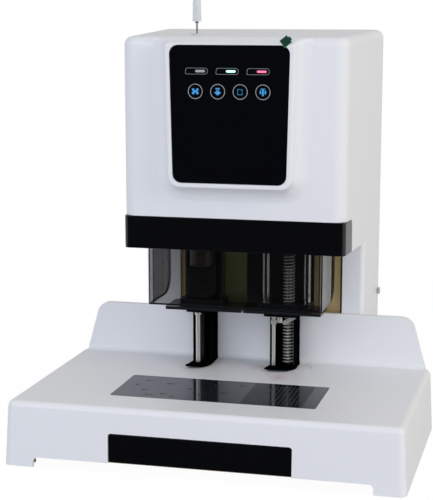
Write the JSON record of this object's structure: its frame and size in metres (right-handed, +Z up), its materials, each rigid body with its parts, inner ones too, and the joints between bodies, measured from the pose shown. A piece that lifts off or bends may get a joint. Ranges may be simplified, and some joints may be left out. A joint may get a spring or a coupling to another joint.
{
  "type": "voucher binding machine",
  "caption": "Desktop voucher binder: white head and table, smoked guard, black presser feet, hollow drill with coil spring, hot riveter, touch panel and chip drawer",
  "frame": {"origin": "on the surface the machine stands on, below the middle of its footprint", "axes": "+X is the right-hand side of the front, +Y points to the back of the machine, +Z is up"},
  "size_m": [0.3998, 0.3269, 0.4564],
  "materials": {
    "white_shell": "fine satin texture",
    "clear_white": "milky, half clear",
    "black_shell": "smooth",
    "smoked_sheet": "smoked acrylic sheet, polished",
    "panel_film": "printed film, gloss",
    "light_guide": "clear light guides",
    "tinted_sheet": "dark tinted, polished",
    "pad_plastic": "nylon",
    "zinc_sheet": "yellow zinc plated sheet",
    "black_sheet": "dark coated steel",
    "black_gloss": "high gloss black",
    "foot_rubber": "moulded rubber",
    "plain_steel": "ground steel",
    "bright_chrome": "polished",
    "milled_aluminium": "milled",
    "turned_brass": "turned",
    "motor_can": "plated can",
    "belt_rubber": "ribbed belt",
    "warm_aluminium": "anodised, warm grey",
    "heater_black": "heat resistant coating",
    "board_green": "solder mask",
    "socket_plastic": "moulded"
  },
  "bodies": {
    "housing": {"base_cover": "white_shell", "worktop_panel": "tinted_sheet", "base_plate": "zinc_sheet", "foot_front_left": "foot_rubber", "foot_front_right": "foot_rubber", "foot_rear_left": "foot_rubber", "foot_rear_right": "foot_rubber", "tool_bed": "plain_steel", "rivet_anvil": "turned_brass", "anvil_heater": "milled_aluminium", "frame_side_left": "zinc_sheet", "frame_side_right": "zinc_sheet", "frame_back": "zinc_sheet", "top_deck": "zinc_sheet", "tool_shield": "black_sheet", "head_cover": "white_shell", "front_band": "black_shell", "rear_cover": "white_shell", "side_screw_left": "plain_steel", "side_screw_right": "plain_steel", "power_inlet": "socket_plastic", "guard": "smoked_sheet", "panel_pod": "white_shell", "panel_board": "light_guide", "control_panel": "panel_film", "feed_tube": "clear_white", "drill_guide_rods": "bright_chrome", "rivet_guide_rods": "bright_chrome", "drill_lift_motor": "motor_can", "rivet_lift_motor": "motor_can", "control_board": "board_green", "power_supply": "milled_aluminium", "laser_module": "turned_brass"},
    "drawer": {"chip_drawer": "black_shell"},
    "pad": {"cutting_pad": "pad_plastic"},
    "drill_head": {"drill_carriage": "milled_aluminium", "spindle_bearings": "plain_steel", "drill_motor": "motor_can", "drive_belt": "belt_rubber"},
    "drill_spindle": {"spindle": "plain_steel", "drill_bit": "plain_steel"},
    "drill_pulley": {"motor_pulley": "milled_aluminium"},
    "drill_press": {"drill_press_plate": "black_sheet", "drill_foot": "black_gloss", "drill_spring": "bright_chrome"},
    "drill_screw": {"drill_lift_screw": "plain_steel"},
    "rivet_head": {"rivet_carriage": "milled_aluminium", "rivet_sleeve": "warm_aluminium", "rivet_heater": "heater_black", "rivet_punch": "turned_brass"},
    "rivet_press": {"rivet_press_plate": "black_sheet", "rivet_foot": "black_gloss"},
    "rivet_screw": {"rivet_lift_screw": "plain_steel"},
    "feed": {"feed_rod": "plain_steel", "feed_knob": "clear_white"},
    "bind_key": {"key_bind": "panel_film"},
    "lower_key": {"key_lower": "panel_film"},
    "laser_key": {"key_laser": "panel_film"},
    "drill_key": {"key_drill": "panel_film"},
    "rocker": {"power_switch": "socket_plastic"}
  },
  "joints": [
    {"name": "drill_lift", "type": "slide", "parent": "housing", "child": "drill_head", "axis": [0, 0, 1], "range_m": [0, 0.05]},
    {"name": "drill_screw_turn", "type": "hinge", "parent": "housing", "child": "drill_screw", "pos_m": [0.0435, 0.0725, 0.2], "axis": [0, 0, 1], "range_deg": [0, 2260]},
    {"name": "foot_press", "type": "slide", "parent": "drill_head", "child": "drill_press", "axis": [0, 0, 1], "range_m": [0, 0.05], "stiffness_N_per_m": 200, "springref_m": -0.03, "deforming": ["drill_spring"]},
    {"name": "drill_spin", "type": "hinge", "parent": "drill_head", "child": "drill_spindle", "pos_m": [0.047, 0.037, 0.2], "axis": [0, 0, 1], "continuous": true},
    {"name": "motor_pulley_spin", "type": "hinge", "parent": "drill_head", "child": "drill_pulley", "pos_m": [0.047, 0.004, 0.29], "axis": [0, 0, 1], "continuous": true},
    {"name": "rivet_lift", "type": "slide", "parent": "housing", "child": "rivet_head", "axis": [0, 0, 1], "range_m": [0, 0.05]},
    {"name": "rivet_screw_turn", "type": "hinge", "parent": "housing", "child": "rivet_screw", "pos_m": [-0.047, 0.0725, 0.2], "axis": [0, 0, 1], "range_deg": [0, 2260]},
    {"name": "rivet_foot_press", "type": "slide", "parent": "rivet_head", "child": "rivet_press", "axis": [0, 0, 1], "range_m": [0, 0.002], "stiffness_N_per_m": 1500, "springref_m": -0.004},
    {"name": "feed_rod_lift", "type": "slide", "parent": "housing", "child": "feed", "axis": [0, 0, 1], "range_m": [0, 0.09]},
    {"name": "drawer_slide", "type": "slide", "parent": "housing", "child": "drawer", "axis": [0, -1, 0], "range_m": [0, 0.11]},
    {"name": "pad_turn", "type": "hinge", "parent": "housing", "child": "pad", "pos_m": [0.054, 0.037, 0.064], "axis": [0, 0, 1], "continuous": true},
    {"name": "bind_key_press", "type": "slide", "parent": "housing", "child": "bind_key", "axis": [0, 1, 0], "range_m": [0, 0.0004], "stiffness_N_per_m": 800, "springref_m": -0.0004},
    {"name": "lower_key_press", "type": "slide", "parent": "housing", "child": "lower_key", "axis": [0, 1, 0], "range_m": [0, 0.0004], "stiffness_N_per_m": 800, "springref_m": -0.0004},
    {"name": "laser_key_press", "type": "slide", "parent": "housing", "child": "laser_key", "axis": [0, 1, 0], "range_m": [0, 0.0004], "stiffness_N_per_m": 800, "springref_m": -0.0004},
    {"name": "drill_key_press", "type": "slide", "parent": "housing", "child": "drill_key", "axis": [0, 1, 0], "range_m": [0, 0.0004], "stiffness_N_per_m": 800, "springref_m": -0.0004},
    {"name": "power_rocker", "type": "hinge", "parent": "housing", "child": "rocker", "pos_m": [-0.02, 0.1611, 0.046], "axis": [1, 0, 0], "range_deg": [-18, 0]}
  ],
  "couplings": [
    {"joint": "drill_screw_turn", "follows": "drill_lift", "rad_per_m": 785.4},
    {"joint": "rivet_screw_turn", "follows": "rivet_lift", "rad_per_m": 785.4},
    {"joint": "motor_pulley_spin", "follows": "drill_spin", "ratio": 1}
  ]
}
